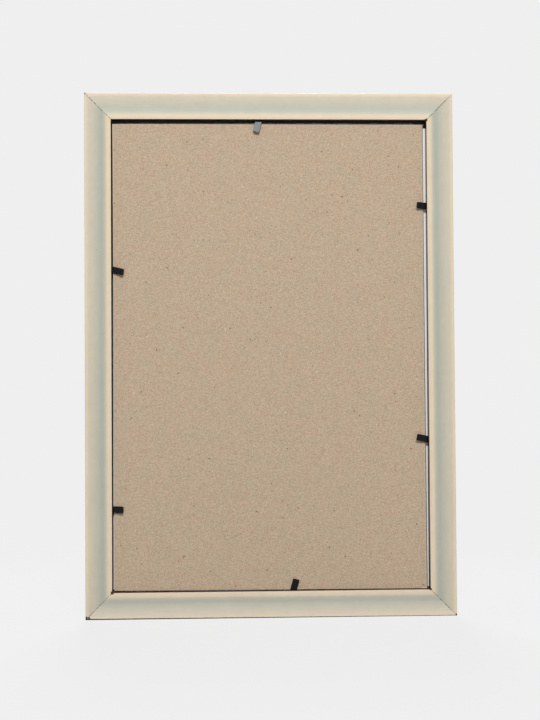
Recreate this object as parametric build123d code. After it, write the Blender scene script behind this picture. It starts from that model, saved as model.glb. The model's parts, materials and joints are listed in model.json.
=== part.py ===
from build123d import *
import math
import os

# Moulded picture frame for a 20 x 30 cm picture, made to be opened from behind.
# Four mitred rails with a hollow back are joined by two V-nails across each corner. Their rebate holds,
# from the front: the glazing, a white insert sheet and a greyboard backing board. Six flexible steel
# tabs are driven into the rebate walls. Each one bends where it leaves the wall, to let the board out.
#
# Millimetres, +Z up. The front faces -Y. The origin is the middle of the bottom edge, halfway through
# the depth. Left and right are as seen from the front.

# Picture format and the room that the rebate leaves around it
format_width = 200.0
format_height = 300.0
rebate_spare_width = 3.4
rebate_spare_height = 2.6

# Rail section, measured from the outer edge inwards and from the front plane backwards
rail_width = 17.0
rail_depth = 13.0
ledge_width = 6.0
ledge_depth = 5.7
back_arris = 0.4

# Hollow in the back of the rail, between the outer lip and the inner land
outer_lip = 1.3
inner_land = 3.4
hollow_depth = 0.6
hollow_deepest_share = 0.68
hollow_slope_share = 0.72
hollow_heel_share = 0.36

# Front of the rail: round shoulder, narrow flat crest, reverse curve and sight bead.
# Across is a share of the whole section's width, back is a share of the ledge depth.
shoulder_radius = 3.4
crest_shares = (0.24, 0.0)
curve_foot_shares = (0.85, 0.47)
bead_start_shares = (0.86, 0.60)
bead_top_shares = (0.93, 0.45)
sight_edge_back_share = 0.68

# Contents of the rebate, from the front
glazing_thickness = 2.0
glazing_play = 0.7
glazing_arris = 0.2
insert_thickness = 0.3
insert_play = 0.95
insert_short = 3.6
insert_lift = 1.5
insert_gap_share = 0.2
insert_skew_share = 0.33
board_thickness = 2.0
board_short = 0.3
board_lift = 0.3
board_wall_gap = 1.2

# Flexible tabs: one steel strip each, part driven into the rail, part bent over the board
tab_width = 4.2
tab_thickness = 0.5
tab_length = 15.5
tab_corner = 0.7
tab_point_length = 2.4
tab_point_width = 1.3
tab_over_board = 0.3
tab_bend_out = 0.6
tab_running_gap = 0.05
tab_rise = 12.0

# Where each tab sits: its rail and its distance from the middle of that rail, towards +X or +Z, as a
# share of the rebate's side
tab_place_shares = {
    "top_tab": ("top", 0.0325),
    "bottom_tab": ("bottom", -0.067),
    "left_upper_tab": ("left", 0.316),
    "left_lower_tab": ("left", -0.183),
    "right_upper_tab": ("right", 0.1815),
    "right_lower_tab": ("right", -0.3255),
}

# How much of each tab stands out of its wall, as a share of its length: they are driven by hand
tab_exposed_shares = {
    "top_tab": 0.50,
    "bottom_tab": 0.52,
    "left_upper_tab": 0.41,
    "left_lower_tab": 0.51,
    "right_upper_tab": 0.56,
    "right_lower_tab": 0.475,
}

# How far each tab slants in the plane of the board, in degrees: all the same way, as one hand drives them
tab_slant = {
    "top_tab": -14.0,
    "bottom_tab": -16.5,
    "left_upper_tab": -4.5,
    "left_lower_tab": -12.5,
    "right_upper_tab": -14.5,
    "right_lower_tab": -2.5,
}

# V-nails across the mitres, sunk below the hollow. The lip is how far their ends turn out, each way.
nail_height = 7.0
nail_leg = 4.0
nail_lip = 0.45
nail_thickness = 0.4
nail_edge = 0.12
nail_cover = 0.6
nail_place_shares = {"outer": 0.24, "inner": 0.62}

# How far a cutting shape runs past what it cuts
overrun = 1.0

# Worked out from the sizes above
rebate_width = format_width + rebate_spare_width
rebate_height = format_height + rebate_spare_height
outer_width = rebate_width + 2 * rail_width
outer_height = rebate_height + 2 * rail_width
section_width = rail_width + ledge_width
back_y = rail_depth / 2
front_y = -rail_depth / 2
ledge_y = front_y + ledge_depth
insert_y = ledge_y + glazing_thickness
board_y = insert_y + insert_thickness
board_back_y = board_y + board_thickness
tab_y = board_back_y + tab_over_board + tab_thickness / 2
middle_z = outer_height / 2
rebate_floor_z = rail_width
rebate_wall_x = rebate_width / 2

# Directions: from each rail towards the opening, and out through the back
inward = {
    "top": Vector(0, 0, -1),
    "bottom": Vector(0, 0, 1),
    "left": Vector(1, 0, 0),
    "right": Vector(-1, 0, 0),
}
backward = Vector(0, 1, 0)

# Each corner's two rails, in the order that makes a right-handed frame with the way back
corner_rails = {
    "top_left": ("left", "top"),
    "top_right": ("top", "right"),
    "bottom_right": ("right", "bottom"),
    "bottom_left": ("bottom", "left"),
}


def is_level(side):
    """True for the top and bottom rails, which run along X."""
    return side in ("top", "bottom")


def outer_middle(side):
    """Middle of a rail's outer edge."""
    reach = outer_height / 2 if is_level(side) else outer_width / 2
    return Vector(0, 0, middle_z) - inward[side] * reach


def wall_middle(side):
    """Middle of a rail's rebate wall, at the tabs' level."""
    return outer_middle(side) + inward[side] * rail_width + backward * tab_y


def section_point(shares):
    """Point of the front outline from its share across and its share back."""
    across, back = shares
    return (section_width * across, front_y + ledge_depth * back)


def hollow_curve():
    """Long easy slope from the outer lip, then a short heel up to the inner land."""
    start = (outer_lip, back_y)
    end = (rail_width - inner_land, back_y)
    hollow_width = end[0] - start[0]
    deepest_x = outer_lip + hollow_width * hollow_deepest_share
    deepest = (deepest_x, back_y - hollow_depth)
    slope_middle = ((start[0] + deepest_x) / 2, back_y - hollow_depth * hollow_slope_share)
    heel_middle = ((end[0] + deepest_x) / 2, back_y - hollow_depth * (1 - hollow_heel_share))
    slope = ThreePointArc(start, slope_middle, deepest)
    heel = ThreePointArc(deepest, heel_middle, end)
    return [slope, heel]


def front_curve(sight_edge, side_edge):
    """Sight bead, quirk, reverse curve and round shoulder, from the sight edge to the outer side."""
    bead_start = section_point(bead_start_shares)
    foot = section_point(curve_foot_shares)
    crest = section_point(crest_shares)
    turn = ((foot[0] + crest[0]) / 2, (foot[1] + crest[1]) / 2)
    shoulder_top = (shoulder_radius, front_y)
    return [
        ThreePointArc(sight_edge, section_point(bead_top_shares), bead_start),
        Line(bead_start, foot),
        TangentArc(foot, turn, tangent=(-1, 0)),
        TangentArc(crest, turn, tangent=(1, 0)),
        Line(crest, shoulder_top),
        RadiusArc(shoulder_top, side_edge, shoulder_radius),
    ]


def rail_section():
    """Closed outline of the moulding: x runs inwards from the outer edge, y backwards."""
    side_edge = (0, front_y + shoulder_radius)
    side_arris = (0, back_y - back_arris)
    lip_arris = (back_arris, back_y)
    land_arris = (rail_width - back_arris, back_y)
    wall_arris = (rail_width, back_y - back_arris)
    ledge_root = (rail_width, ledge_y)
    ledge_edge = (section_width, ledge_y)
    sight_edge = (section_width, front_y + ledge_depth * sight_edge_back_share)
    hollow = hollow_curve()
    lines = [
        Line(side_edge, side_arris),
        RadiusArc(side_arris, lip_arris, back_arris),
        Line(lip_arris, (outer_lip, back_y)),
        *hollow,
        Line((rail_width - inner_land, back_y), land_arris),
        RadiusArc(land_arris, wall_arris, back_arris),
        Line(wall_arris, ledge_root),
        Line(ledge_root, ledge_edge),
        Line(ledge_edge, sight_edge),
        *front_curve(sight_edge, side_edge),
    ]
    return make_face(Curve() + lines)


def plain_rail(side):
    """One length of moulding, cut to a mitre at both ends."""
    length = outer_width if is_level(side) else outer_height
    along = inward[side].cross(backward)
    origin = outer_middle(side)
    plane = Plane(origin=origin, x_dir=inward[side], z_dir=along)
    rail = extrude(plane * rail_section(), length / 2, both=True)
    for end in (1, -1):
        corner = origin + along * (end * length / 2)
        mitre = Plane(origin=corner, z_dir=inward[side] + along * end)
        rail = split(rail, bisect_by=mitre, keep=Keep.BOTTOM)
    return rail.solid()


def tab_plan(name):
    """Outline of a whole tab: pointed where it is driven in, rounded at its free end."""
    half = tab_width / 2
    point = tab_point_width / 2
    exposed = tab_length * tab_exposed_shares[name]
    driven = tab_length - exposed
    shoulder = tab_point_length - driven
    outline = Polyline(
        (-driven, -point),
        (shoulder, -half),
        (exposed, -half),
        (exposed, half),
        (shoulder, half),
        (-driven, point),
        close=True,
    )
    plan = make_face(outline)
    free_end = plan.vertices().group_by(Axis.X)[-1]
    return Rot(0, 0, tab_slant[name]) * fillet(free_end, tab_corner)


def tab_plane(name):
    """Where a tab leaves its wall: x into the opening, z out through the back."""
    side, place_share = tab_place_shares[name]
    if is_level(side):
        shift = Vector(1, 0, 0) * (rebate_width * place_share)
    else:
        shift = Vector(0, 0, 1) * (rebate_height * place_share)
    return Plane(origin=wall_middle(side) + shift, x_dir=inward[side], z_dir=backward)


def tab_shank(name):
    """Fixed half of a tab, from its point in the rail to just short of the bend."""
    strip = extrude(tab_plan(name), tab_thickness / 2, both=True)
    end_x = tab_bend_out - tab_thickness / 2 - tab_running_gap
    cut = Plane(origin=(end_x, 0, 0), z_dir=(1, 0, 0))
    shank = split(strip, bisect_by=cut, keep=Keep.BOTTOM)
    return (tab_plane(name) * shank).solid()


def tab_leaf(name):
    """Moving half of a tab: a strip with a rounded root about the bend, raised off the board."""
    radius = tab_thickness / 2
    reach = tab_length * tab_exposed_shares[name] + overrun
    profile = Curve() + [
        Line((tab_bend_out, radius), (reach, radius)),
        Line((reach, radius), (reach, -radius)),
        Line((reach, -radius), (tab_bend_out, -radius)),
        RadiusArc((tab_bend_out, -radius), (tab_bend_out, radius), radius),
    ]
    side_face = Plane.XZ * make_face(profile)
    strip = extrude(side_face, tab_width, both=True)
    leaf = strip & extrude(tab_plan(name), tab_thickness, both=True)
    bend = Axis((tab_bend_out, 0, 0), (0, 1, 0))
    raised = leaf.rotate(bend, -tab_rise)
    return (tab_plane(name) * raised).solid()


def corner_plane(corner):
    """Outer corner at the nails' front end: x and y run along the two rails' widths."""
    first, second = corner_rails[corner]
    origin = outer_middle(first) + outer_middle(second) - Vector(0, 0, middle_z)
    nail_front_y = back_y - hollow_depth - nail_cover - nail_height
    return Plane(origin=origin + backward * nail_front_y, x_dir=inward[first], z_dir=backward)


def corner_nail(corner, place_share):
    """V-nail with its point on the mitre, its legs in the two rails and its ends turned out."""
    apex = rail_width * place_share
    leg_end = apex + nail_leg
    lip_end = leg_end + nail_lip
    lip_out = apex - nail_lip
    path = Polyline(
        (lip_end, lip_out), (leg_end, apex), (apex, apex), (apex, leg_end), (lip_out, lip_end)
    )
    nail = extrude(trace(path, nail_thickness), nail_height)
    front_edges = nail.faces().sort_by(Axis.Z)[0].edges()
    sharpened = chamfer(front_edges, nail_edge)
    return (corner_plane(corner) * sharpened).solid()


def make_rail(side, nails, shanks):
    """A rail with the slits that its nails and tabs make in it."""
    rail = plain_rail(side)
    for corner, rails in corner_rails.items():
        if side in rails:
            for nail in nails[corner]:
                rail -= nail
    for name, shank in shanks.items():
        if tab_place_shares[name][0] == side:
            rail -= shank
    return rail.solid()


def glazing_sheet():
    """Glass that stands on the rebate floor against the ledge, with its edges eased."""
    width = rebate_width - 2 * glazing_play
    height = rebate_height - 2 * glazing_play
    sheet = Box(width, glazing_thickness, height, align=(Align.CENTER, Align.MIN, Align.MIN))
    eased = chamfer(sheet.edges(), glazing_arris)
    return Pos(0, ledge_y, rebate_floor_z) * eased


def insert_sheet():
    """White sheet, cut to the rebate's width, that lies close to the left wall and a trace askew."""
    width = rebate_width - insert_play
    height = format_height - insert_short
    sheet = Box(width, insert_thickness, height, align=(Align.CENTER, Align.MIN, Align.CENTER))
    centre_x = insert_play * insert_gap_share + width / 2 - rebate_wall_x
    centre_z = rebate_floor_z + insert_lift + height / 2
    skew = math.degrees(math.asin(insert_play * insert_skew_share / height))
    return Pos(centre_x, insert_y, centre_z) * Rot(0, -skew, 0) * sheet


def backing_board():
    """Greyboard that the tabs hold a little above the rebate floor, nearer to the right wall."""
    height = format_height - board_short
    board = Box(format_width, board_thickness, height, align=(Align.MAX, Align.MIN, Align.MIN))
    return Pos(rebate_wall_x - board_wall_gap, board_y, rebate_floor_z + board_lift) * board


def make_nodes():
    """All the pieces of the frame by name."""
    nails = {
        corner: [corner_nail(corner, share) for share in nail_place_shares.values()]
        for corner in corner_rails
    }
    shanks = {name: tab_shank(name) for name in tab_place_shares}
    nodes = {f"{side}_rail": make_rail(side, nails, shanks) for side in inward}
    nodes["glazing"] = glazing_sheet()
    nodes["insert_sheet"] = insert_sheet()
    nodes["backing_board"] = backing_board()
    for name, shank in shanks.items():
        nodes[f"{name}_shank"] = shank
        nodes[f"{name}_leaf"] = tab_leaf(name)
    for corner, pair in nails.items():
        for place, nail in zip(nail_place_shares, pair):
            nodes[f"{corner}_{place}_nail"] = nail
    return nodes


def print_bends():
    """Point and direction of each tab's bend, which opens away from the board."""
    for name in tab_place_shares:
        plane = tab_plane(name)
        point = plane.origin + plane.x_dir * tab_bend_out
        axis = plane.x_dir.cross(backward)
        place = [round(value, 3) for value in point]
        direction = [round(value) for value in axis]
        print(name, "bends at", place, "about", direction)


os.makedirs("parts", exist_ok=True)
for node_name, solid in make_nodes().items():
    export_step(solid, f"parts/{node_name}.step")
print_bends()
print("outer", outer_width, "x", rail_depth, "x", outer_height, "rebate", rebate_width, "x", rebate_height)
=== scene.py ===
# Looks of a mitred picture frame seen from behind: moulded rails, greyboard back, white sheet, glass
# and six steel tabs that bend. Metres, in the frame's own axes: +Z up, the back faces +Y.

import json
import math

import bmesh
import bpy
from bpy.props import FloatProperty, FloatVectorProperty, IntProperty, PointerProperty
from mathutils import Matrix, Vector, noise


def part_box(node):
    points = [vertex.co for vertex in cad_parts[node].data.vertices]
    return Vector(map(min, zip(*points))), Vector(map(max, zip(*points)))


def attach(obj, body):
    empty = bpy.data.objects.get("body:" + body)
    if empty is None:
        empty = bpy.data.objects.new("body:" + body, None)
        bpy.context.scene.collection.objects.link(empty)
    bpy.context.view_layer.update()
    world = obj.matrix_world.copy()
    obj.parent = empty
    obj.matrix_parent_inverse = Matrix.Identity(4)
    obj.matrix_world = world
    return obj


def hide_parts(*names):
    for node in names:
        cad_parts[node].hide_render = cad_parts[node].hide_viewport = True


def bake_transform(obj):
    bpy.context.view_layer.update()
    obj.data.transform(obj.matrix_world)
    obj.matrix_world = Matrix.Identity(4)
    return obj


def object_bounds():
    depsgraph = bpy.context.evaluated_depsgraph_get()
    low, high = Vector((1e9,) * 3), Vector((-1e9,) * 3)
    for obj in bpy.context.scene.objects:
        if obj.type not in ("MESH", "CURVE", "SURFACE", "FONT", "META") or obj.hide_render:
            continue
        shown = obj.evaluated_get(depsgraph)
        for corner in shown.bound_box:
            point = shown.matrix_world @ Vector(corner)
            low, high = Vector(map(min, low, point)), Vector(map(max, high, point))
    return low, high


bl_info = {
    "name": "Moulded picture frame",
    "version": (1, 0, 0),
    "blender": (4, 5, 0),
    "location": "3D View > Sidebar > Picture Frame",
    "description": "Rails, board, sheet, glass and bending tabs of a mitred picture frame",
    "category": "Add Mesh",
}

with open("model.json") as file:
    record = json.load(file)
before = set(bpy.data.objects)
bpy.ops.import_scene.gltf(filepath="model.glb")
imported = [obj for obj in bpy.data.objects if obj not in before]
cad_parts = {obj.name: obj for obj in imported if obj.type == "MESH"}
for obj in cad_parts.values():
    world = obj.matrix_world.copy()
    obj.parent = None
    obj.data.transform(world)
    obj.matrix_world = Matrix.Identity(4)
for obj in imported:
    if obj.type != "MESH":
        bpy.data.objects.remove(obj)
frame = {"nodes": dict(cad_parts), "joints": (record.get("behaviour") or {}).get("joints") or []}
cad_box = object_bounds()

mm = 0.001

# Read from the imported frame
half_width = cad_box[1].x
height = cad_box[1].z
middle_z = height / 2
front_y = cad_box[0].y
back_y = cad_box[1].y
ledge_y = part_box("glazing")[0].y
rail_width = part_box("glazing")[0].z
section_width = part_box("left_rail")[1].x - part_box("left_rail")[0].x
ledge_depth = ledge_y - front_y
backward = Vector((0, 1, 0))

# Each rail's direction from its outer edge towards the opening
inward = {
    "top": Vector((0, 0, -1)),
    "bottom": Vector((0, 0, 1)),
    "left": Vector((1, 0, 0)),
    "right": Vector((-1, 0, 0)),
}

# Front of the rail: across as a share of the section's width, back as a share of the ledge depth
crest_shares = (0.24, 0.0)
curve_foot_shares = (0.85, 0.47)
bead_start_shares = (0.86, 0.60)
bead_top_shares = (0.93, 0.45)
sight_edge_back_share = 0.68

# Hollow in the back of the rail
hollow_deepest_share = 0.68
hollow_slope_share = 0.72
hollow_heel_share = 0.36

# Slant of each tab in the plane of the board, in degrees
tab_slant = {
    "top_tab": -14.0,
    "bottom_tab": -14.5,
    "left_upper_tab": -4.5,
    "left_lower_tab": -12.5,
    "right_upper_tab": -14.5,
    "right_lower_tab": -2.5,
}

# How much of each tab stands out of its wall, as a share of its length
tab_exposed_shares = {
    "top_tab": 0.53,
    "bottom_tab": 0.50,
    "left_upper_tab": 0.43,
    "left_lower_tab": 0.53,
    "right_upper_tab": 0.53,
    "right_lower_tab": 0.475,
}

# Least share of the backward direction in a face of the bare back, in the rail's inner and outer half
bare_inner_share = 0.8
bare_outer_share = 0.45

# Meshes: edges shown sharp, edges of a tab that are rounded, and steps of what is round
sharp_angle = math.radians(20)
rim_angle = math.radians(60)
corner_steps = 5
edge_steps = 2
floor_segments = 96

# Waver of the board's cut edge: noise cells in a metre, and the rim that moves, in radii of the edge
waver_scale = 190.0
rim_radii = 1.5

# Patterns: cells of the fine grain to those of the coarse, and length of a streak along the rail
fine_ratio = 3.7
along_share = 0.04

# Floor: where its shadow starts to fade, how much of it shows, and the floor's glow beside the frame
shadow_core_share = 0.3
shadow_share = 0.2
near_glow = 1.12


def srgb(red, green, blue):
    """Linear colour from a display colour on the scale of 0 to 255."""
    return tuple(
        value / 12.92 if value <= 0.04045 else ((value + 0.055) / 1.055) ** 2.4
        for value in (red / 255, green / 255, blue / 255)
    )


def length_property(name, description, default):
    """A length that a user may change, in metres."""
    return FloatProperty(
        name=name, description=description, default=default, subtype="DISTANCE", unit="LENGTH", precision=5
    )


def angle_property(name, description, degrees):
    """An angle that a user may change, given in degrees."""
    return FloatProperty(
        name=name, description=description, default=math.radians(degrees), subtype="ANGLE", unit="ROTATION"
    )


def count_property(name, description, default):
    """A number of steps that a user may change."""
    return IntProperty(name=name, description=description, default=default, min=2)


def power_property(name, description, default):
    """A lamp's power that a user may change, in watts."""
    return FloatProperty(name=name, description=description, default=default, min=0, unit="POWER")


def colour_property(name, description, default):
    """A colour that a user may change."""
    return FloatVectorProperty(
        name=name, description=description, default=default, subtype="COLOR", size=3, min=0, max=1
    )


class RailSettings(bpy.types.PropertyGroup):
    """Section and finish of the moulding."""

    outer_lip: length_property("Outer lip", "Flat strip along the outer edge of the back", 1.3 * mm)
    inner_land: length_property("Inner land", "Flat strip between the hollow and the rebate", 3.4 * mm)
    hollow_depth: length_property("Hollow depth", "Depth of the hollow in the back", 0.6 * mm)
    arris: length_property("Arris", "Radius of the back edges", 0.4 * mm)
    shoulder: length_property("Shoulder", "Radius of the front's outer shoulder", 3.4 * mm)
    mitre_gap: length_property("Mitre gap", "Gap between two rails at a mitre", 0.02 * mm)
    mitre_ease: length_property("Mitre ease", "Size of the eased edge along a mitre", 0.06 * mm)
    arc_steps: count_property("Arc steps", "Edges along each arc of the section", 10)
    bare: colour_property("Bare back", "Cream foam of the back", srgb(224, 208, 181))
    hollow: colour_property("Hollow", "Grey-green cast in the hollow", srgb(176, 178, 165))
    # Painted light: the top and bottom rails get a paler back and hollow, a painted sheen on the top rail
    # and painted brightening on the bottom rail
    painted_light_bare: colour_property("Pale back", "Paler foam of the level rails", srgb(231, 215, 190))
    painted_light_hollow: colour_property("Pale hollow", "Paler cast of the level rails", srgb(188, 189, 176))
    mitre: colour_property("Mitre line", "Dirt in the mitre's joint", srgb(36, 34, 28))
    skin: colour_property("Skin", "Black skin of the front, the sides and the rebate", srgb(34, 31, 30))
    # Painted contact shadow along the bottom edge of the back
    painted_contact_shadow: colour_property("Skin edge", "Brown cut edge of the skin on the back", srgb(74, 54, 49))
    # Painted bounce light: the rebate walls are painted lighter and browner near the back
    rebate: colour_property("Rebate", "Thin brown skin at the mouth of the rebate", srgb(124, 97, 78))


class BackSettings(bpy.types.PropertyGroup):
    """Greyboard, white sheet and glass."""

    board_edge: length_property("Board edge", "Rounding of the board's cut edge", 0.2 * mm)
    board_waver: length_property("Board waver", "How far the cut edge strays from straight", 0.06 * mm)
    board_skew: length_property("Board skew", "How far out of square the lower edge is cut", 0.6 * mm)
    board_lean: length_property("Board lean", "How far the board's sides reach out at their ends", 0.5 * mm)
    open_side: length_property("Open side", "How far the side beside the open gap stands out", 0.3 * mm)
    board_cells: count_property("Board cells", "Stretches along the board's edge", 60)
    board_low: colour_property("Board low", "Darker tone of the board", srgb(169, 145, 119))
    board_high: colour_property("Board high", "Lighter tone of the board", srgb(209, 190, 167))
    fibre: colour_property("Board specks", "Dark fibres in the board", srgb(74, 55, 40))
    pulp: colour_property("Board pulp", "Pale fibres in the board", srgb(228, 213, 190))
    torn: colour_property("Torn ply", "Pale torn ply at the board's corner and rim", srgb(224, 206, 181))
    # Painted shade: the board's side beside the open gap is painted darker
    painted_gap_shade: colour_property("Soiled rim", "Rubbed dirt along the board's open side", srgb(66, 54, 42))
    sheet: colour_property("Sheet", "White sheet in front of the board", srgb(238, 239, 242))
    glass: colour_property("Glass", "Tint of the glass", (0.993, 1.0, 0.997))


class TabSettings(bpy.types.PropertyGroup):
    """Steel tabs, one strip each."""

    width: length_property("Width", "Width of the strip", 4.2 * mm)
    length: length_property("Length", "Whole length of the strip", 15.5 * mm)
    thickness: length_property("Thickness", "Thickness of the strip", 0.5 * mm)
    point_length: length_property("Point length", "Length of the driven end's taper", 2.4 * mm)
    point_width: length_property("Point width", "Width of the driven end", 1.3 * mm)
    corner: length_property("Corner", "Radius of the free end's corners", 0.7 * mm)
    edge: length_property("Edge", "Rounding of the strip's edges", 0.09 * mm)
    bend_out: length_property("Bend", "Distance of the bend from the wall", 0.6 * mm)
    bend_half: length_property("Bend reach", "Half the length of strip that curves", 0.45 * mm)
    bend_rings: count_property("Bend rings", "Rings of the curved stretch", 9)
    rise: angle_property("Rise", "Angle of the free end off the board", 12.0)
    steel: colour_property("Blackened steel", "Colour of the strip", srgb(12, 11, 11))
    nail: colour_property("Nail steel", "Colour of the corner nails", srgb(196, 196, 192))


class StageSettings(bpy.types.PropertyGroup):
    """Camera, lamps and floor."""

    distance: length_property("Camera distance", "Distance of the camera from the back plane", 1.0)
    aim_right: length_property("Aim right", "Sideways place of the frame's middle in the view", 0.480 * mm)
    aim_up: length_property("Aim up", "Height of the frame's middle in the view", 3.694 * mm)
    pan: angle_property("Pan", "Turn of the camera about the upright", 2.731)
    tilt: angle_property("Tilt", "Tilt of the camera", -1.724)
    roll: angle_property("Roll", "Roll of the camera", 0.279)
    lens: FloatProperty(name="Lens", description="Focal length for a long side of 36", default=77.975)
    background: colour_property("Background", "Colour of the backdrop and floor", srgb(239, 239, 239))
    world_level: FloatProperty(name="Fill level", description="Strength of the fill", default=0.27, min=0)
    key_power: power_property("Key power", "Power of the lamp behind the frame", 69.0)
    key_distance: length_property("Key distance", "Distance of the main lamps", 2.95)
    key_height: angle_property("Key height", "Elevation of the main lamps", 38.0)
    key_width: length_property("Key width", "Width of the main lamps", 0.9)
    key_depth: length_property("Key depth", "Height of the main lamps", 0.8)
    front_power: power_property("Front power", "Power of the lamp in front of the frame", 69.0)
    floor: colour_property("Floor", "Colour that the floor throws back on the frame", srgb(176, 176, 176))
    floor_radius: length_property("Floor radius", "Radius of the floor", 6.0)
    shadow_radius: length_property("Shadow radius", "Reach of the floor's shadow round the frame", 0.5)


class NodeGraph:
    """Adds nodes to a node tree and links them."""

    def __init__(self, tree):
        self.tree = tree

    def add(self, kind, inputs=None, **settings):
        """A node with its settings, and its inputs by name or number as values or as sockets."""
        made = self.tree.nodes.new(kind)
        for name, value in settings.items():
            setattr(made, name, value)
        for name, value in (inputs or {}).items():
            self.feed(made.inputs[name], value)
        return made

    def feed(self, socket, value):
        """Sets a socket's value, or links another socket to it."""
        if isinstance(value, bpy.types.NodeSocket):
            self.tree.links.new(value, socket)
        elif socket.type == "RGBA":
            socket.default_value = (*value, 1.0)
        else:
            socket.default_value = value

    def maths(self, operation, first, second=0.0, clamp=False):
        """Result of a Math node."""
        made = self.add("ShaderNodeMath", {0: first, 1: second}, operation=operation, use_clamp=clamp)
        return made.outputs[0]

    def times(self, first, second):
        """Product of two values."""
        return self.maths("MULTIPLY", first, second)

    def plus(self, first, second, clamp=False):
        """Sum of two values."""
        return self.maths("ADD", first, second, clamp)

    def minus(self, first, second, clamp=False):
        """First value less the second."""
        return self.maths("SUBTRACT", first, second, clamp)

    def multiply_add(self, first, second, third):
        """Product of two values, plus a third."""
        made = self.add("ShaderNodeMath", {0: first, 1: second, 2: third}, operation="MULTIPLY_ADD")
        return made.outputs[0]

    def extreme(self, operation, values):
        """Least or greatest of several values."""
        result, *others = values
        for value in others:
            result = self.maths(operation, result, value)
        return result

    def ramp_down(self, value, start, end):
        """1 at start falling smoothly to 0 at end."""
        made = self.add(
            "ShaderNodeMapRange",
            {"Value": value, "From Min": start, "From Max": end, "To Min": 1.0, "To Max": 0.0},
            interpolation_type="SMOOTHSTEP",
        )
        return made.outputs[0]

    def mix_colour(self, factor, first, second, blend="MIX"):
        """Colour between two colours."""
        made = self.add("ShaderNodeMix", data_type="RGBA", blend_type=blend)
        self.feed(made.inputs[0], factor)
        self.feed(made.inputs[6], first)
        self.feed(made.inputs[7], second)
        return made.outputs[2]

    def mix_value(self, factor, first, second):
        """Value between two values."""
        return self.add("ShaderNodeMix", {0: factor, 2: first, 3: second}, data_type="FLOAT").outputs[0]

    def span(self, value, low, high):
        """A value from 0 to 1 spread from low to high."""
        made = self.add("ShaderNodeMapRange", {"Value": value, "To Min": low, "To Max": high})
        return made.outputs[0]

    def object_place(self):
        """Place on the object, in metres."""
        return self.add("ShaderNodeTexCoord").outputs["Object"]

    def parts(self, place):
        """X, Y and Z of a place."""
        return self.add("ShaderNodeSeparateXYZ", {0: place}).outputs

    def seen(self):
        """1 for rays by which the eye sees a surface: straight, mirrored or through glass."""
        paths = self.add("ShaderNodeLightPath").outputs
        rays = [paths[f"Is {kind} Ray"] for kind in ("Camera", "Glossy", "Transmission")]
        return self.extreme("MAXIMUM", rays)

    def grouped(self, group, **inputs):
        """An effect's group node, with its own values."""
        made = self.add("ShaderNodeGroup", node_tree=group)
        for name, value in inputs.items():
            self.feed(made.inputs[name.replace("_", " ").capitalize()], value)
        return made


def new_group(name, inputs, outputs):
    """Empty effect group: its graph, its input sockets by name and its output node."""
    group = bpy.data.node_groups.new(name, "ShaderNodeTree")
    for socket, (kind, default) in inputs.items():
        made = group.interface.new_socket(name=socket, in_out="INPUT", socket_type=kind)
        if default is not None:
            made.default_value = default
    for socket, kind in outputs.items():
        group.interface.new_socket(name=socket, in_out="OUTPUT", socket_type=kind)
    graph = NodeGraph(group)
    source = graph.add("NodeGroupInput")
    return group, graph, source.outputs, graph.add("NodeGroupOutput")


def grain_group():
    """Soft grain of two sizes, centred on 0.5."""
    sockets = {
        "Place": ("NodeSocketVector", None),
        "Scale": ("NodeSocketFloat", 1000.0),
        "Stretch": ("NodeSocketVector", (1.0, 1.0, 1.0)),
    }
    group, graph, given, out = new_group("grain", sockets, {"Value": "NodeSocketFloat"})
    both = {0: given["Place"], 1: given["Stretch"]}
    drawn = graph.add("ShaderNodeVectorMath", both, operation="MULTIPLY").outputs[0]
    coarse = graph.add("ShaderNodeTexNoise", {"Vector": drawn, "Scale": given["Scale"], "Detail": 3.0})
    fine_scale = graph.times(given["Scale"], fine_ratio)
    fine = graph.add("ShaderNodeTexNoise", {"Vector": drawn, "Scale": fine_scale, "Detail": 1.0})
    graph.feed(out.inputs["Value"], graph.mix_value(0.5, coarse.outputs[0], fine.outputs[0]))
    return group


def speck_group():
    """Scattered uneven specks: a share of the cells of a cell pattern holds one."""
    sockets = {
        "Place": ("NodeSocketVector", None),
        "Scale": ("NodeSocketFloat", 500.0),
        "Size": ("NodeSocketFloat", 0.3),
        "Share": ("NodeSocketFloat", 0.1),
    }
    group, graph, given, out = new_group("specks", sockets, {"Mask": "NodeSocketFloat"})
    start, scale = given["Place"], given["Scale"]
    warp_scale = graph.times(scale, 4.0)
    warp = graph.add("ShaderNodeTexNoise", {"Vector": start, "Scale": warp_scale, "Detail": 1.0})
    stray = {0: warp.outputs["Color"], "Scale": 1.2 * mm}
    shift = graph.add("ShaderNodeVectorMath", stray, operation="SCALE")
    place = graph.add("ShaderNodeVectorMath", {0: start, 1: shift.outputs[0]}, operation="ADD")
    cells = graph.add("ShaderNodeTexVoronoi", {"Vector": place.outputs[0], "Scale": scale})
    draw = graph.add("ShaderNodeSeparateColor", {"Color": cells.outputs["Color"]})
    chosen = graph.maths("LESS_THAN", draw.outputs[0], given["Share"])
    grown = graph.times(given["Size"], graph.span(draw.outputs[1], 0.5, 1.0))
    inner = graph.times(grown, 0.4)
    spot = graph.ramp_down(cells.outputs["Distance"], inner, grown)
    graph.feed(out.inputs["Mask"], graph.times(spot, chosen))
    return group


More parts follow.
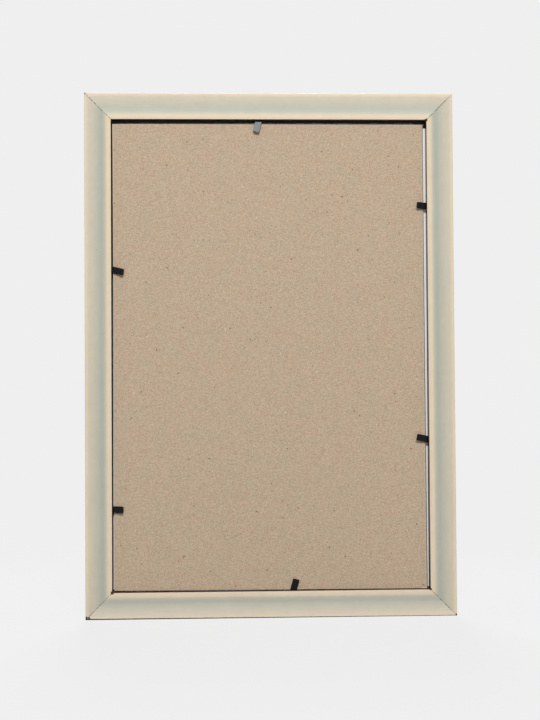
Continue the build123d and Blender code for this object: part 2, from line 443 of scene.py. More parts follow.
def rail_place_group():
    """Place on a rail: across from its outer edge, along it, and distance from the nearest mitre."""
    sockets = {
        "Place": ("NodeSocketVector", None),
        "Half width": ("NodeSocketFloat", half_width),
        "Half height": ("NodeSocketFloat", middle_z),
    }
    outputs = {
        "Across": "NodeSocketFloat",
        "Streak": "NodeSocketVector",
        "Mitre": "NodeSocketFloat",
        "Upper": "NodeSocketFloat",
        "Lower": "NodeSocketFloat",
    }
    group, graph, given, out = new_group("rail_place", sockets, outputs)
    parts = graph.parts(given["Place"])
    from_side = graph.minus(given["Half width"], graph.maths("ABSOLUTE", parts["X"]))
    from_middle = graph.minus(parts["Z"], given["Half height"])
    from_end = graph.minus(given["Half height"], graph.maths("ABSOLUTE", from_middle))
    across = graph.maths("MINIMUM", from_side, from_end)
    upright = graph.maths("LESS_THAN", from_side, from_end)
    along = graph.mix_value(upright, parts["X"], parts["Z"])
    slow_along = graph.times(along, along_share)
    streak = graph.add("ShaderNodeCombineXYZ", {"X": across, "Y": slow_along, "Z": upright})
    graph.feed(out.inputs["Across"], across)
    graph.feed(out.inputs["Streak"], streak.outputs[0])
    graph.feed(out.inputs["Mitre"], graph.maths("ABSOLUTE", graph.minus(from_side, from_end)))
    above = graph.maths("GREATER_THAN", from_middle, 0.0)
    lower = graph.minus(graph.minus(1.0, upright), above, clamp=True)
    graph.feed(out.inputs["Upper"], graph.minus(above, upright, clamp=True))
    graph.feed(out.inputs["Lower"], lower)
    return group


effects = {}


def effect(name, maker):
    """An effect's group, built once."""
    if name not in effects:
        effects[name] = maker()
    return effects[name]


def scaled(colour, factor):
    """A colour made darker or lighter."""
    return tuple(channel * factor for channel in colour)


def cleared_graph(owner):
    """Empty node graph of a material or of a world."""
    owner.use_nodes = True
    owner.node_tree.nodes.clear()
    return NodeGraph(owner.node_tree)


def new_material(name, values=None):
    """Material with one Principled shader: its graph, its shader node and its output node."""
    made = bpy.data.materials.new(name)
    graph = cleared_graph(made)
    shader = graph.add("ShaderNodeBsdfPrincipled", values)
    out = graph.add("ShaderNodeOutputMaterial", {"Surface": shader.outputs[0]})
    return made, graph, shader, out


def coat(graph, shader, colour, roughness):
    """Feeds a shader its colour and its roughness."""
    graph.feed(shader.inputs["Base Color"], colour)
    graph.feed(shader.inputs["Roughness"], roughness)


def add_bump(graph, shader, height, strength, distance):
    """Fine relief from a height value."""
    bump = graph.add("ShaderNodeBump", {"Height": height, "Strength": strength, "Distance": distance})
    graph.feed(shader.inputs["Normal"], bump.outputs[0])


def grain(graph, place, scale, stretch=(1.0, 1.0, 1.0)):
    """Value of the grain effect."""
    group = effect("grain", grain_group)
    return graph.grouped(group, place=place, scale=scale, stretch=stretch).outputs[0]


def wander(graph, place, scale, reach):
    """Uneven shift of an edge, to both sides."""
    return graph.times(graph.minus(grain(graph, place, scale), 0.5), reach)


def specks(graph, place, scale, size, share):
    """Mask of the specks effect."""
    group = effect("specks", speck_group)
    return graph.grouped(group, place=place, scale=scale, size=size, share=share).outputs[0]


def hollow_mask(graph, across):
    """How strongly the hollow's cast shows, by the share of the rail's width from its outer edge."""
    stops = {
        0.0: 0.0,
        0.07: 0.06,
        0.14: 0.37,
        0.29: 0.53,
        0.45: 0.75,
        0.60: 1.0,
        0.68: 0.98,
        0.75: 0.72,
        0.79: 0.42,
        0.85: 0.0,
    }
    share = graph.maths("DIVIDE", across, rail_width)
    ramp = graph.add("ShaderNodeValToRGB", {0: share})
    elements = ramp.color_ramp.elements
    elements.remove(elements[1])
    elements[0].color = (0, 0, 0, 1)
    for place, level in list(stops.items())[1:]:
        elements.new(place).color = (level, level, level, 1)
    return ramp.outputs[0]


def corner_mask(graph, place, corner, radius, waver):
    """Skin that wraps round one outer corner of the back."""
    away = graph.add("ShaderNodeVectorMath", {0: place, 1: corner}, operation="DISTANCE").outputs["Value"]
    uneven = graph.plus(away, waver)
    return graph.ramp_down(uneven, radius * 0.9, radius * 1.15)


def corner_skin(graph, place, waver):
    """Where the skin shows at the corners of the bare back, with one chip out of it."""
    tips = {
        (half_width, back_y, height): 1.0 * mm,
        (half_width, back_y, 0.0): 2.2 * mm,
        (half_width - 1.7 * mm, back_y, 0.3 * mm): 1.7 * mm,
        (-half_width, back_y, 0.0): 1.3 * mm,
        (half_width - rail_width, back_y, rail_width): 1.1 * mm,
        (rail_width - half_width, back_y, rail_width): 0.8 * mm,
        (rail_width - half_width, back_y, height - rail_width): 0.9 * mm,
    }
    masks = [corner_mask(graph, place, corner, radius, waver) for corner, radius in tips.items()]
    mask = graph.extreme("MAXIMUM", masks)
    chip = corner_mask(graph, place, (half_width - 1.5 * mm, back_y, 1.1 * mm), 0.4 * mm, waver)
    return graph.minus(mask, graph.times(chip, 0.8), clamp=True)


def painted_contact_shadow_mask(graph, place, waver):
    """Painted contact shadow: a dark brown line along the bottom edge of the bare back, wider towards +X.
    """
    parts = graph.parts(place)
    side = graph.maths("DIVIDE", parts["X"], half_width)
    reach = graph.multiply_add(side, 0.22 * mm, 0.58 * mm)
    height_now = graph.plus(parts["Z"], graph.times(waver, 0.25))
    return graph.ramp_down(graph.minus(height_now, reach), -0.06 * mm, 0.06 * mm)


def bare_back_material(settings):
    """Cream foam of the back: grey-green cast in the hollow, faint streaks, dirt in the mitres, painted
    light that makes the top and bottom rails paler, and a painted contact shadow along the bottom edge.
    """
    made, graph, shader, _ = new_material("bare_back", {"Specular IOR Level": 0.3})
    place = graph.object_place()
    rail = graph.grouped(effect("rail_place", rail_place_group), place=place)
    across, streak, mitre, upper, lower = rail.outputs
    # Painted light: a painted sheen on the top rail's outer part and hollow, and the bottom rail painted
    # paler against its shade
    painted_sheen_top_lip = graph.times(upper, graph.ramp_down(across, 2 * mm, 8 * mm))
    pale = graph.maths("MAXIMUM", lower, painted_sheen_top_lip)
    bare = graph.mix_colour(pale, settings.bare, settings.painted_light_bare)
    level = graph.maths("MAXIMUM", upper, lower)
    cast = graph.mix_colour(level, settings.hollow, settings.painted_light_hollow)
    tone = graph.mix_colour(hollow_mask(graph, across), bare, cast)
    cloud = graph.span(grain(graph, place, 60.0), 0.93, 1.07)
    lines = graph.times(cloud, graph.span(grain(graph, streak, 1400.0), 0.88, 1.12))
    shade = graph.add("ShaderNodeCombineColor", {0: lines, 1: lines, 2: lines})
    lined = graph.mix_colour(1.0, tone, shade.outputs[0], "MULTIPLY")
    dots = specks(graph, place, scale=260.0, size=0.14, share=0.10)
    dotted = graph.mix_colour(graph.times(dots, 0.2), lined, settings.mitre)
    patchy = graph.plus(graph.span(grain(graph, place, 330.0), -4.2, 5.4), 0.0, clamp=True)
    off_edge = graph.minus(1.0, graph.ramp_down(across, 0.7 * mm, 2.0 * mm))
    dirt = graph.times(patchy, off_edge)
    joint = graph.times(graph.ramp_down(mitre, 0.10 * mm, 0.42 * mm), dirt)
    jointed = graph.mix_colour(joint, dotted, settings.mitre)
    waver = wander(graph, place, 700.0, 2.2 * mm)
    # Painted contact shadow along the bottom edge
    edged = graph.mix_colour(painted_contact_shadow_mask(graph, place, waver), jointed, settings.painted_contact_shadow)
    final = graph.mix_colour(corner_skin(graph, place, waver), edged, settings.skin)
    fine = grain(graph, place, 2600.0)
    coat(graph, shader, final, graph.span(fine, 0.5, 0.7))
    relief = graph.plus(graph.times(fine, 0.4), grain(graph, streak, 1400.0))
    add_bump(graph, shader, relief, strength=0.25, distance=0.05 * mm)
    return made


def black_skin_material(settings):
    """Black satin skin with faint drawn lines along the rail and tiny dust pits, and painted bounce light,
    brown, on the rebate walls near the back.
    """
    made, graph, shader, _ = new_material("black_skin", {"Specular IOR Level": 0.32})
    place = graph.object_place()
    rail = graph.grouped(effect("rail_place", rail_place_group), place=place)
    across, streak = rail.outputs["Across"], rail.outputs["Streak"]
    drawn = grain(graph, streak, 900.0)
    dust = specks(graph, place, scale=420.0, size=0.16, share=0.16)
    tone = graph.mix_colour(drawn, scaled(settings.skin, 0.75), scaled(settings.skin, 1.25))
    dusty = graph.mix_colour(graph.times(dust, 0.3), tone, scaled(settings.skin, 2.5))
    parts = graph.parts(place)
    deep = graph.minus(back_y, parts["Y"])
    # Painted bounce light on the rebate walls, fading with depth from the back
    on_wall = graph.maths("GREATER_THAN", across, rail_width - 0.5 * mm)
    mouth = graph.times(on_wall, graph.ramp_down(deep, 0.8 * mm, 3.5 * mm))
    coat(graph, shader, graph.mix_colour(mouth, dusty, settings.rebate), graph.span(drawn, 0.26, 0.46))
    relief = graph.plus(drawn, graph.times(dust, 0.5))
    add_bump(graph, shader, relief, strength=0.3, distance=0.03 * mm)
    return made


def greyboard_material(settings):
    """Recycled board: clouded tone, short fibres, dark and pale specks, torn corner, and painted shade
    along its side beside the open gap.
    """
    made, graph, shader, _ = new_material("greyboard", {"Specular IOR Level": 0.15})
    place = graph.object_place()
    level = grain(graph, place, 1800.0, (0.6, 1.0, 1.4))
    upright = grain(graph, place, 1500.0, (1.3, 1.0, 0.8))
    fibres = graph.mix_value(0.35, level, upright)
    spread = graph.span(fibres, -2.95, 3.95)
    tone = graph.mix_colour(spread, settings.board_low, settings.board_high)
    blush = graph.span(grain(graph, place, 160.0), -1.0, 2.0)
    warm = graph.mix_colour(blush, (0.96, 1.015, 1.015), (1.04, 0.985, 0.985))
    clouded = graph.mix_colour(1.0, tone, warm, "MULTIPLY")
    dark = graph.times(specks(graph, place, scale=300.0, size=0.27, share=0.13), 0.9)
    darkened = graph.mix_colour(dark, clouded, settings.fibre)
    pale = graph.times(specks(graph, place, scale=340.0, size=0.22, share=0.15), 0.9)
    flecked = graph.mix_colour(pale, darkened, settings.pulp)
    edged = graph.mix_colour(torn_corner(graph, place), flecked, settings.torn)
    # Painted shade along the board's side beside the open gap
    painted_gap_shade = graph.mix_colour(painted_gap_shade_mask(graph, place), edged, settings.painted_gap_shade)
    coat(graph, shader, painted_gap_shade, graph.span(fibres, 0.85, 0.98))
    add_bump(graph, shader, fibres, strength=0.55, distance=0.12 * mm)
    return made


def torn_corner(graph, place):
    """Pale torn ply at the board's lower corner, and its paler cut edge."""
    low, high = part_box("backing_board")
    parts = graph.parts(place)
    along = graph.minus(parts["X"], low.x)
    up = graph.minus(parts["Z"], low.z)
    waver = wander(graph, place, 500.0, 0.5 * mm)
    near_end = graph.ramp_down(along, 2.8 * mm, 3.4 * mm)
    near_edge = graph.ramp_down(graph.plus(up, waver), 0.55 * mm, 0.85 * mm)
    torn = graph.times(near_end, near_edge)
    back_along = graph.minus(high.x, parts["X"])
    down = graph.minus(high.z, parts["Z"])
    nearest = graph.extreme("MINIMUM", [along, up, back_along, down])
    rim = graph.ramp_down(graph.plus(nearest, waver), 0.15 * mm, 0.75 * mm)
    return graph.maths("MAXIMUM", torn, graph.times(rim, 0.35))


def painted_gap_shade_mask(graph, place):
    """Painted shade along the board's side beside the open gap, stronger towards the bottom."""
    settings = bpy.context.scene.frame_back
    low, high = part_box("backing_board")
    parts = graph.parts(place)
    down = graph.maths("DIVIDE", graph.minus(high.z, parts["Z"]), high.z - low.z)
    lean = graph.times(down, down)
    out = graph.multiply_add(lean, settings.board_lean, settings.open_side - low.x)
    along = graph.plus(parts["X"], out)
    waver = wander(graph, place, 350.0, 0.6 * mm)
    rim = graph.ramp_down(graph.plus(along, waver), 0.30 * mm, 0.75 * mm)
    return graph.times(rim, graph.span(down, 0.6, 0.95))


def white_sheet_material(settings):
    """Smooth white card with a trace of tooth."""
    made, graph, shader, _ = new_material("white_sheet", {"Specular IOR Level": 0.3})
    place = graph.object_place()
    tooth = grain(graph, place, 1500.0)
    tone = graph.mix_colour(tooth, scaled(settings.sheet, 0.97), settings.sheet)
    coat(graph, shader, tone, graph.span(tooth, 0.5, 0.65))
    add_bump(graph, shader, tooth, strength=0.12, distance=0.03 * mm)
    return made


def clear_glass_material(settings):
    """Clear float glass that lets lamps through to the sheet behind it."""
    clear = {"IOR": 1.5, "Base Color": settings.glass, "Transmission Weight": 1.0}
    made, graph, shader, out = new_material("clear_glass", clear)
    smear = grain(graph, graph.object_place(), 25.0)
    graph.feed(shader.inputs["Roughness"], graph.span(smear, 0.0, 0.03))
    shadow = graph.add("ShaderNodeLightPath").outputs["Is Shadow Ray"]
    through = graph.add("ShaderNodeBsdfTransparent", {0: settings.glass})
    mixed = graph.add("ShaderNodeMixShader", {0: shadow, 1: shader.outputs[0], 2: through.outputs[0]})
    graph.feed(out.inputs["Surface"], mixed.outputs[0])
    return made


def blackened_steel_material(settings):
    """Blackened spring strip with fine lines along it. Its pattern follows the strip as it bends."""
    gloss = {"Specular IOR Level": 0.165, "Specular Tint": (0.93, 1.0, 1.0)}
    made, graph, shader, _ = new_material("blackened_steel", gloss)
    place = graph.add("ShaderNodeAttribute", attribute_name="strip_place").outputs["Vector"]
    lines = grain(graph, place, 1500.0, (0.2, 1.6, 1.0))
    tone = graph.mix_colour(lines, scaled(settings.steel, 0.7), scaled(settings.steel, 1.4))
    coat(graph, shader, tone, graph.span(lines, 0.18, 0.30))
    add_bump(graph, shader, lines, strength=0.1, distance=0.02 * mm)
    return made


def nail_steel_material(settings):
    """Bright rolled steel of the corner nails."""
    made, graph, shader, _ = new_material("nail_steel", {"Metallic": 1.0})
    lines = grain(graph, graph.object_place(), 1800.0, (1.0, 0.1, 1.0))
    tone = graph.mix_colour(lines, scaled(settings.nail, 0.85), settings.nail)
    coat(graph, shader, tone, graph.span(lines, 0.22, 0.42))
    add_bump(graph, shader, lines, strength=0.15, distance=0.02 * mm)
    return made


def pale_stage_material(settings):
    """Pale floor that shows the backdrop's colour, and the frame's shadow close to the frame."""
    made = bpy.data.materials.new("pale_stage")
    graph = cleared_graph(made)
    away = graph.add("ShaderNodeVectorMath", {0: graph.object_place()}, operation="LENGTH").outputs["Value"]
    near = graph.ramp_down(away, settings.shadow_radius * shadow_core_share, settings.shadow_radius)
    shown = graph.minus(1.0, graph.times(near, shadow_share))
    diffuse = graph.add("ShaderNodeBsdfDiffuse", {"Color": settings.floor})
    lifted = graph.span(near, 1.0, near_glow)
    glow = graph.add("ShaderNodeEmission", {"Color": settings.background, "Strength": lifted})
    share = graph.times(graph.seen(), shown)
    mixed = graph.add("ShaderNodeMixShader", {0: share, 1: diffuse.outputs[0], 2: glow.outputs[0]})
    graph.add("ShaderNodeOutputMaterial", {"Surface": mixed.outputs[0]})
    return made


def add_object(name, data):
    """A new object in the scene."""
    made = bpy.data.objects.new(name, data)
    bpy.context.scene.collection.objects.link(made)
    return made


def cut_plane(bm, place, normal, **options):
    """Cuts a whole bmesh with a plane."""
    geom = bm.verts[:] + bm.edges[:] + bm.faces[:]
    return bmesh.ops.bisect_plane(bm, geom=geom, plane_co=place, plane_no=normal, **options)


def finished_mesh(bm, name, materials):
    """A new object at the origin from a bmesh, smooth but for its sharp edges."""
    bmesh.ops.recalc_face_normals(bm, faces=bm.faces)
    for face in bm.faces:
        face.smooth = True
    for edge in bm.edges:
        edge.smooth = edge.calc_face_angle(math.pi) < sharp_angle
    mesh = bpy.data.meshes.new(name)
    bm.to_mesh(mesh)
    bm.free()
    for material in materials:
        mesh.materials.append(material)
    return add_object(name, mesh)


class OutlinePen:
    """Draws an outline of straight and round strokes as edges of a bmesh, in its XY plane."""

    def __init__(self, bm, start, steps):
        self.bm = bm
        self.steps = steps
        self.vert = bm.verts.new((*start, 0))

    def line(self, end):
        """Straight stroke."""
        self.vert = bmesh.ops.extrude_vert_indiv(self.bm, verts=[self.vert])["verts"][0]
        self.vert.co = (*end, 0)

    def arc(self, end, centre):
        """Round stroke about a centre, the short way."""
        start = self.vert.co.xy - Vector(centre)
        finish = Vector(end) - Vector(centre)
        sweep = math.atan2(start.x * finish.y - start.y * finish.x, start.dot(finish))
        turn = {"cent": (*centre, 0), "axis": (0, 0, 1), "dvec": (0, 0, 0), "angle": sweep}
        spun = bmesh.ops.spin(self.bm, geom=[self.vert], steps=self.steps, **turn)
        self.vert = next(item for item in spun["geom_last"] if isinstance(item, bmesh.types.BMVert))
        self.vert.co = (*end, 0)


def centre_through(first, second, third):
    """Centre of the circle through three points."""
    a, b, c = Vector(first), Vector(second), Vector(third)
    twice = 2 * (a.x * (b.y - c.y) + b.x * (c.y - a.y) + c.x * (a.y - b.y))
    squares = [point.length_squared for point in (a, b, c)]
    x = (squares[0] * (b.y - c.y) + squares[1] * (c.y - a.y) + squares[2] * (a.y - b.y)) / twice
    y = (squares[0] * (c.x - b.x) + squares[1] * (a.x - c.x) + squares[2] * (b.x - a.x)) / twice
    return (x, y)


def section_point(shares):
    """Point of the front outline from its share across and its share back."""
    return (section_width * shares[0], front_y + ledge_depth * shares[1])


def draw_back(pen, settings):
    """Side, lip, hollow, land and rebate wall, from the shoulder to the ledge."""
    arris = settings.arris
    lip = (settings.outer_lip, back_y)
    land = (rail_width - settings.inner_land, back_y)
    deepest_x = lip[0] + (land[0] - lip[0]) * hollow_deepest_share
    deepest = (deepest_x, back_y - settings.hollow_depth)
    slope = ((lip[0] + deepest_x) / 2, back_y - settings.hollow_depth * hollow_slope_share)
    heel = ((land[0] + deepest_x) / 2, back_y - settings.hollow_depth * (1 - hollow_heel_share))
    pen.line((0, back_y - arris))
    pen.arc((arris, back_y), (arris, back_y - arris))
    pen.line(lip)
    pen.arc(deepest, centre_through(lip, slope, deepest))
    pen.arc(land, centre_through(deepest, heel, land))
    pen.line((rail_width - arris, back_y))
    pen.arc((rail_width, back_y - arris), (rail_width - arris, back_y - arris))
    pen.line((rail_width, ledge_y))
    pen.line((section_width, ledge_y))


def draw_front(pen, settings):
    """Sight edge, bead, quirk, reverse curve, crest and shoulder, from the ledge to the side."""
    sight = (section_width, front_y + ledge_depth * sight_edge_back_share)
    bead_start = section_point(bead_start_shares)
    foot = section_point(curve_foot_shares)
    crest = section_point(crest_shares)
    turn = ((foot[0] + crest[0]) / 2, (foot[1] + crest[1]) / 2)
    reach, drop = foot[0] - turn[0], foot[1] - turn[1]
    radius = (reach**2 + drop**2) / (2 * drop)
    shoulder = settings.shoulder
    pen.line(sight)
    pen.arc(bead_start, centre_through(sight, section_point(bead_top_shares), bead_start))
    pen.line(foot)
    pen.arc(turn, (foot[0], foot[1] - radius))
    pen.arc(crest, (crest[0], crest[1] + radius))
    pen.line((shoulder, front_y))
    pen.arc((0, front_y + shoulder), (shoulder, front_y + shoulder))


def rail_prism(settings, length):
    """Straight length of moulding: x inwards from the outer edge, y backwards, z along."""
    bm = bmesh.new()
    pen = OutlinePen(bm, (0, front_y + settings.shoulder), settings.arc_steps)
    draw_back(pen, settings)
    draw_front(pen, settings)
    bmesh.ops.remove_doubles(bm, verts=bm.verts, dist=0.001 * mm)
    bmesh.ops.translate(bm, verts=bm.verts, vec=(0, 0, -length / 2))
    drawn = bmesh.ops.extrude_edge_only(bm, edges=bm.edges)
    moved = [item for item in drawn["geom"] if isinstance(item, bmesh.types.BMVert)]
    bmesh.ops.translate(bm, verts=moved, vec=(0, 0, length))
    bmesh.ops.recalc_face_normals(bm, faces=bm.faces)
    return bm


def mark_skin(bm, settings):
    """Material 0 on the bare back, 1 on everything that the black skin covers."""
    floor = back_y - settings.hollow_depth - settings.arris
    for face in bm.faces:
        place = face.calc_center_median()
        steepest = bare_inner_share if place.x > rail_width / 2 else bare_outer_share
        bare = place.y > floor and face.normal.y > steepest
        face.material_index = 0 if bare else 1


def cut_mitre(bm, settings, length, end):
    """Cuts one end to its mitre, closes it and eases its edge on the back."""
    corner = Vector((0, 0, end * length / 2))
    normal = Vector((1, 0, end)).normalized()
    cut = cut_plane(bm, corner - normal * settings.mitre_gap, normal, clear_outer=True)
    rim = [item for item in cut["geom_cut"] if isinstance(item, bmesh.types.BMEdge)]
    ends = {vert for edge in rim for vert in edge.verts}
    bmesh.ops.edgeloop_fill(bm, edges=rim, mat_nr=0)
    cut_plane(bm, corner - normal * (settings.mitre_gap + settings.mitre_ease), normal)
    floor = back_y - settings.hollow_depth - settings.arris / 10
    eased = [vert for vert in ends if vert.is_valid and vert.co.y > floor]
    bmesh.ops.translate(bm, verts=eased, vec=(0, -settings.mitre_ease, 0))


def place_on_side(bm, side):
    """Turns a length of moulding into its place in the frame."""
    along = inward[side].cross(backward)
    reach = middle_z if side in ("top", "bottom") else half_width
    origin = Vector((0, 0, middle_z)) - inward[side] * reach
    turn = Matrix((inward[side], backward, along)).transposed().to_4x4()
    bmesh.ops.transform(bm, matrix=Matrix.Translation(origin) @ turn, verts=bm.verts)


def build_rail(side, settings, materials):
    """One rail, which stands for its CAD node."""
    length = 2 * half_width if side in ("top", "bottom") else height
    bm = rail_prism(settings, length)
    mark_skin(bm, settings)
    for end in (1, -1):
        cut_mitre(bm, settings, length, end)
    place_on_side(bm, side)
    rail = finished_mesh(bm, f"{side}_moulding", materials)
    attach(rail, "frame")
    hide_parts(f"{side}_rail")


def strip_mesh(name, settings):
    """Flat strip of a tab: x out of the wall, y across, z out through the back."""
    exposed = settings.length * tab_exposed_shares[name]
    driven = settings.length - exposed
    bm = bmesh.new()
    bmesh.ops.create_cube(bm, size=1)
    bmesh.ops.scale(bm, vec=(settings.length, settings.width, settings.thickness), verts=bm.verts)
    bmesh.ops.translate(bm, vec=((exposed - driven) / 2, 0, 0), verts=bm.verts)
    far = exposed - settings.thickness / 10
    uprights = [edge for edge in bm.edges if all(v.co.x > far for v in edge.verts) and is_upright(edge)]
    round_edges(bm, uprights, settings.corner, corner_steps)
    cut_across(bm, settings.point_length - driven)
    point = [vert for vert in bm.verts if vert.co.x < settings.point_length / 2 - driven]
    bmesh.ops.scale(bm, vec=(1, settings.point_width / settings.width, 1), verts=point)
    return bm


def round_edges(bm, edges, radius, steps):
    """Rounds edges of a bmesh."""
    bmesh.ops.bevel(bm, geom=edges, offset=radius, segments=steps, profile=0.5, affect="EDGES", material=-1)


def is_upright(edge):
    """True for an edge that runs through a strip's thickness."""
    first, second = edge.verts
    return (first.co.xy - second.co.xy).length < abs(first.co.z - second.co.z)


def cut_across(bm, x):
    """Cuts a ring of edges at a distance from the wall."""
    cut_plane(bm, (x, 0, 0), (1, 0, 0))


def keep_strip_place(bm):
    """Stores each vertex's place on the flat strip, for the pattern of the steel."""
    layer = bm.verts.layers.float_vector.new("strip_place")
    for vert in bm.verts:
        vert[layer] = vert.co


def bend_up(bm, settings):
    """Curves the strip up at its bend."""
    start = settings.bend_out - settings.bend_half
    axis_point = (settings.bend_out, 0, 0)
    for vert in bm.verts:
        share = min(max((vert.co.x - start) / (2 * settings.bend_half), 0), 1)
        eased = share * share * (3 - 2 * share)
        turn = Matrix.Rotation(-settings.rise * eased, 3, "Y")
        bmesh.ops.rotate(bm, cent=axis_point, matrix=turn, verts=[vert])


def build_tab(name, settings, material):
    """One tab, a single strip that bends between the rail and its free end."""
    joint = next(item for item in frame["joints"] if item["child"] == name)
    into = backward.cross(Vector(joint["axis"]))
    bend = Vector(joint["pos_m"])
    bm = strip_mesh(name, settings)
    slant = Matrix.Rotation(math.radians(tab_slant[name]), 3, "Z")
    bmesh.ops.rotate(bm, cent=(0, 0, 0), matrix=slant, verts=bm.verts)
    for ring in range(settings.bend_rings):
        share = 2 * ring / (settings.bend_rings - 1) - 1
        cut_across(bm, settings.bend_out + settings.bend_half * share)
    rim = [edge for edge in bm.edges if edge.calc_face_angle(0) > rim_angle]
    round_edges(bm, rim, settings.edge, edge_steps)
    keep_strip_place(bm)
    bend_up(bm, settings)
    turn = Matrix((into, into.cross(backward) * -1, backward)).transposed().to_4x4()
    origin = bend - into * settings.bend_out
    bmesh.ops.transform(bm, matrix=Matrix.Translation(origin) @ turn, verts=bm.verts)
    tab = finished_mesh(bm, name, [material])
    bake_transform(tab)
    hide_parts(f"{name}_shank", f"{name}_leaf")


def build_board(settings, material):
    """Greyboard with a rounded, slightly wavering cut edge."""
    low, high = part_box("backing_board")
    bm = bmesh.new()
    bmesh.ops.create_cube(bm, size=1)
    bmesh.ops.scale(bm, vec=high - low, verts=bm.verts)
    bmesh.ops.translate(bm, vec=(low + high) / 2, verts=bm.verts)
    round_edges(bm, bm.edges[:], settings.board_edge, edge_steps)
    for normal, start, end in (((1, 0, 0), low.x, high.x), ((0, 0, 1), low.z, high.z)):
        for step in range(1, settings.board_cells):
            cut_plane(bm, Vector(normal) * (start + (end - start) * step / settings.board_cells), normal)
    waver_edge(bm, low, high, settings)
    board = finished_mesh(bm, "greyboard_back", [material])
    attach(board, "frame")
    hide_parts("backing_board")


def waver_edge(bm, low, high, settings):
    """Cuts the board's rim unevenly: its lower edge out of square and its sides a little bowed."""
    middle = (low + high) / 2
    rim = settings.board_edge * rim_radii
    for vert in bm.verts:
        across = (vert.co.x - low.x) / (high.x - low.x)
        up = (vert.co.z - low.z) / (high.z - low.z)
        if high.x - vert.co.x < rim:
            vert.co.x += settings.board_lean * up**2
        elif vert.co.x - low.x < rim:
            vert.co.x -= settings.open_side + settings.board_lean * (1 - up) ** 2
        if vert.co.z - low.z < rim:
            vert.co.z += settings.board_skew * across
        for axis in (0, 2):
            near = min(vert.co[axis] - low[axis], high[axis] - vert.co[axis]) < rim
            if near:
                inset = abs(noise.noise(vert.co * waver_scale)) * settings.board_waver
                vert.co[axis] += inset if vert.co[axis] < middle[axis] else -inset


def dress_node(name, material):
    """A new finish on a CAD node whose shape stays."""
    node = frame["nodes"][name]
    node.data.materials.clear()
    node.data.materials.append(material)


def aim_camera(settings):
    """Camera at the photograph's viewing angle."""
    to_frame = Matrix(((-1, 0, 0), (0, 0, 1), (0, 1, 0)))
    turn = (
        Matrix.Rotation(settings.roll, 3, "Z")
        @ Matrix.Rotation(settings.pan, 3, "Y")
        @ Matrix.Rotation(settings.tilt, 3, "X")
    ).transposed()
    offset = Vector((settings.aim_right, settings.aim_up, -settings.distance))
    camera = bpy.data.cameras.new("camera")
    camera.lens = settings.lens
    camera.sensor_width = 36.0
    made = add_object("camera", camera)
    place = Vector((0, back_y, middle_z)) - to_frame @ turn @ offset
    made.matrix_world = Matrix.Translation(place) @ (to_frame @ turn).to_4x4()
    bpy.context.scene.camera = made


def add_softbox(name, settings, azimuth, power):
    """Rectangular lamp that looks at the middle of the frame, from in front of it or from behind."""
    lamp = bpy.data.lights.new(name, "AREA")
    lamp.shape = "RECTANGLE"
    lamp.size = settings.key_width
    lamp.size_y = settings.key_depth
    lamp.energy = power
    made = add_object(name, lamp)
    level = settings.key_distance * math.cos(settings.key_height)
    rise = settings.key_distance * math.sin(settings.key_height)
    away = Vector((level * math.sin(azimuth), level * math.cos(azimuth), rise))
    made.location = Vector((0, 0, middle_z)) + away
    made.rotation_euler = away.to_track_quat("Z", "Y").to_euler()


def light_world(settings):
    """Pale backdrop to the eye, and a softer all-round fill on the frame."""
    world = bpy.data.worlds.new("pale_room")
    graph = cleared_graph(world)
    strength = graph.span(graph.seen(), settings.world_level, 1.0)
    shade = graph.add("ShaderNodeBackground", {"Color": settings.background, "Strength": strength})
    graph.add("ShaderNodeOutputWorld", {"Surface": shade.outputs[0]})
    bpy.context.scene.world = world


def lay_floor(settings):
    """Round pale floor under the frame."""
    bm = bmesh.new()
    bmesh.ops.create_circle(bm, cap_ends=True, segments=floor_segments, radius=settings.floor_radius)
    floor = finished_mesh(bm, "floor", [pale_stage_material(settings)])
    if floor.data.polygons[0].normal.z < 0:
        floor.data.flip_normals()


class FRAME_OT_build_rails(bpy.types.Operator):
    """Build the four mitred rails"""

    bl_idname = "picture_frame.build_rails"
    bl_label = "Build rails"

    def execute(self, context):
        settings = context.scene.frame_rails
        materials = [bare_back_material(settings), black_skin_material(settings)]
        for side in inward:
            build_rail(side, settings, materials)
        return {"FINISHED"}


class FRAME_OT_fit_glazing(bpy.types.Operator):
    """Give the glazing its clear glass"""

    bl_idname = "picture_frame.fit_glazing"
    bl_label = "Fit glazing"

    def execute(self, context):
        dress_node("glazing", clear_glass_material(context.scene.frame_back))
        return {"FINISHED"}


class FRAME_OT_lay_insert(bpy.types.Operator):
    """Give the insert sheet its white card"""

    bl_idname = "picture_frame.lay_insert"
    bl_label = "Lay insert"

    def execute(self, context):
        dress_node("insert_sheet", white_sheet_material(context.scene.frame_back))
        return {"FINISHED"}


class FRAME_OT_fit_board(bpy.types.Operator):
    """Build the greyboard back"""

    bl_idname = "picture_frame.fit_board"
    bl_label = "Fit board"

    def execute(self, context):
        settings = context.scene.frame_back
        build_board(settings, greyboard_material(settings))
        return {"FINISHED"}


class FRAME_OT_bend_tabs(bpy.types.Operator):
    """Build the six steel tabs, bent up off the board"""

    bl_idname = "picture_frame.bend_tabs"
    bl_label = "Bend tabs"

    def execute(self, context):
        settings = context.scene.frame_tabs
        material = blackened_steel_material(settings)
        for name in tab_slant:
            build_tab(name, settings, material)
        return {"FINISHED"}


class FRAME_OT_finish_nails(bpy.types.Operator):
    """Give the corner nails their bright steel"""

    bl_idname = "picture_frame.finish_nails"
    bl_label = "Finish nails"

    def execute(self, context):
        material = nail_steel_material(context.scene.frame_tabs)
        for name in frame["nodes"]:
            if name.endswith("_nail"):
                dress_node(name, material)
        return {"FINISHED"}


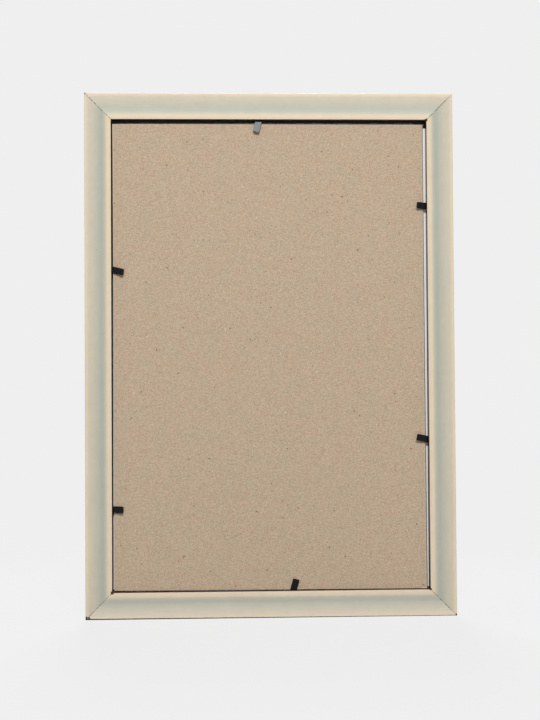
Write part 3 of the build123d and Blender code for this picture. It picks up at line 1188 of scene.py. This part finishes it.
class FRAME_OT_set_stage(bpy.types.Operator):
    """Set the camera, the lamps, the backdrop and the floor"""

    bl_idname = "picture_frame.set_stage"
    bl_label = "Set stage"

    def execute(self, context):
        settings = context.scene.frame_stage
        context.scene.view_settings.view_transform = "Standard"
        aim_camera(settings)
        add_softbox("back_softbox", settings, 0.0, settings.key_power)
        add_softbox("front_softbox", settings, math.pi, settings.front_power)
        light_world(settings)
        lay_floor(settings)
        return {"FINISHED"}


class FRAME_PT_panel(bpy.types.Panel):
    """Sidebar panel with the frame's operators and settings"""

    bl_idname = "FRAME_PT_panel"
    bl_label = "Picture Frame"
    bl_space_type = "VIEW_3D"
    bl_region_type = "UI"
    bl_category = "Picture Frame"

    def draw(self, context):
        column = self.layout.column()
        for operator in operators:
            column.operator(operator.bl_idname)
        for name, group in setting_groups.items():
            box = self.layout.box()
            for setting in group.__annotations__:
                box.prop(getattr(context.scene, name), setting)


setting_groups = {
    "frame_rails": RailSettings,
    "frame_back": BackSettings,
    "frame_tabs": TabSettings,
    "frame_stage": StageSettings,
}
operators = (
    FRAME_OT_build_rails,
    FRAME_OT_fit_glazing,
    FRAME_OT_lay_insert,
    FRAME_OT_fit_board,
    FRAME_OT_bend_tabs,
    FRAME_OT_finish_nails,
    FRAME_OT_set_stage,
)


def register():
    for cls in (*setting_groups.values(), *operators, FRAME_PT_panel):
        bpy.utils.register_class(cls)
    for name, group in setting_groups.items():
        setattr(bpy.types.Scene, name, PointerProperty(type=group))


def unregister():
    for name in setting_groups:
        delattr(bpy.types.Scene, name)
    for cls in (FRAME_PT_panel, *reversed(operators), *reversed(setting_groups.values())):
        bpy.utils.unregister_class(cls)


def main():
    register()
    bpy.ops.picture_frame.build_rails()
    bpy.ops.picture_frame.fit_glazing()
    bpy.ops.picture_frame.lay_insert()
    bpy.ops.picture_frame.fit_board()
    bpy.ops.picture_frame.bend_tabs()
    bpy.ops.picture_frame.finish_nails()
    bpy.ops.picture_frame.set_stage()


if __name__ == "__main__":
    main()
